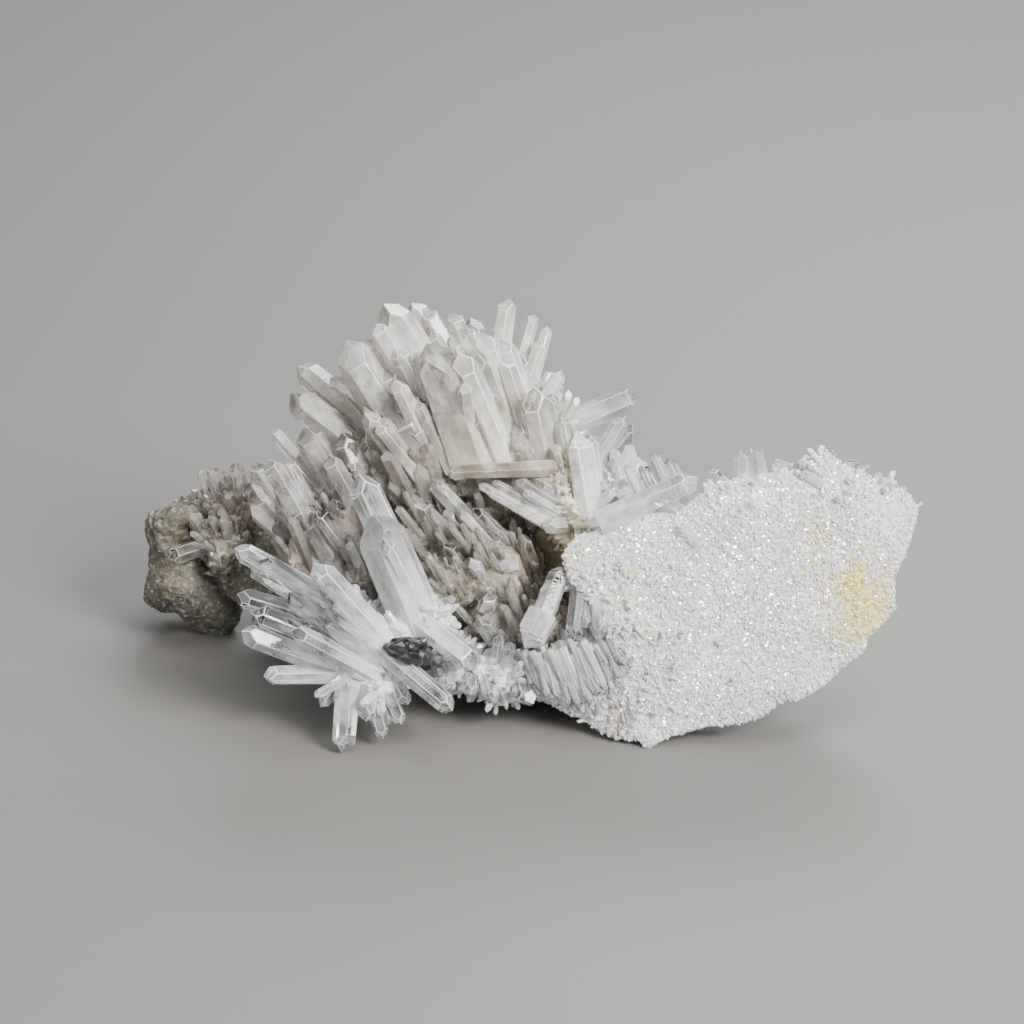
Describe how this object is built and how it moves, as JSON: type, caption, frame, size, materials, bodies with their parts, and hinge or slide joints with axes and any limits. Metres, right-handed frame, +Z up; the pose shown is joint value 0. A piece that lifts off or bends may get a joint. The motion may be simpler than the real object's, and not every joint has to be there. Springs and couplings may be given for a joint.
{
  "type": "quartz crystal cluster",
  "caption": "Cluster of clear and milky quartz crystals radiating from rough rock beside a plate of white sugary quartz, with a black grain.",
  "frame": {"origin": "middle of the underside of the specimen's box, on the surface that it rests on", "axes": "+X along the longest side, towards the plate of sugary quartz; +Y away from the plate's broken face, towards the rock; +Z up"},
  "size_m": [0.1356, 0.0696, 0.0644],
  "materials": {
    "rock": "rough grey-green and brown wall rock",
    "sugary_quartz": "white granular broken quartz with a yellow stain",
    "clear_quartz": "clear glassy crystal faces",
    "milky_quartz": "milky translucent crystal faces",
    "black_grain": "glossy black broken faces"
  },
  "bodies": {
    "root": {"rock_matrix": "rock", "quartz_slab": "sugary_quartz", "dark_grain": "black_grain", "front_spray_crystals": "clear_quartz", "striped_crystals": "milky_quartz", "left_fan_crystals": "milky_quartz", "right_blade_crystals": "milky_quartz", "top_fan_crystals": "milky_quartz", "lone_right_crystal": "clear_quartz", "gully_crystals": "milky_quartz", "slab_large_crystal": "clear_quartz", "lower_edge_crystals": "clear_quartz", "rear_crystals": "milky_quartz", "knob_crystals": "milky_quartz", "slab_rear_crystals": "milky_quartz"}
  },
  "joints": []
}
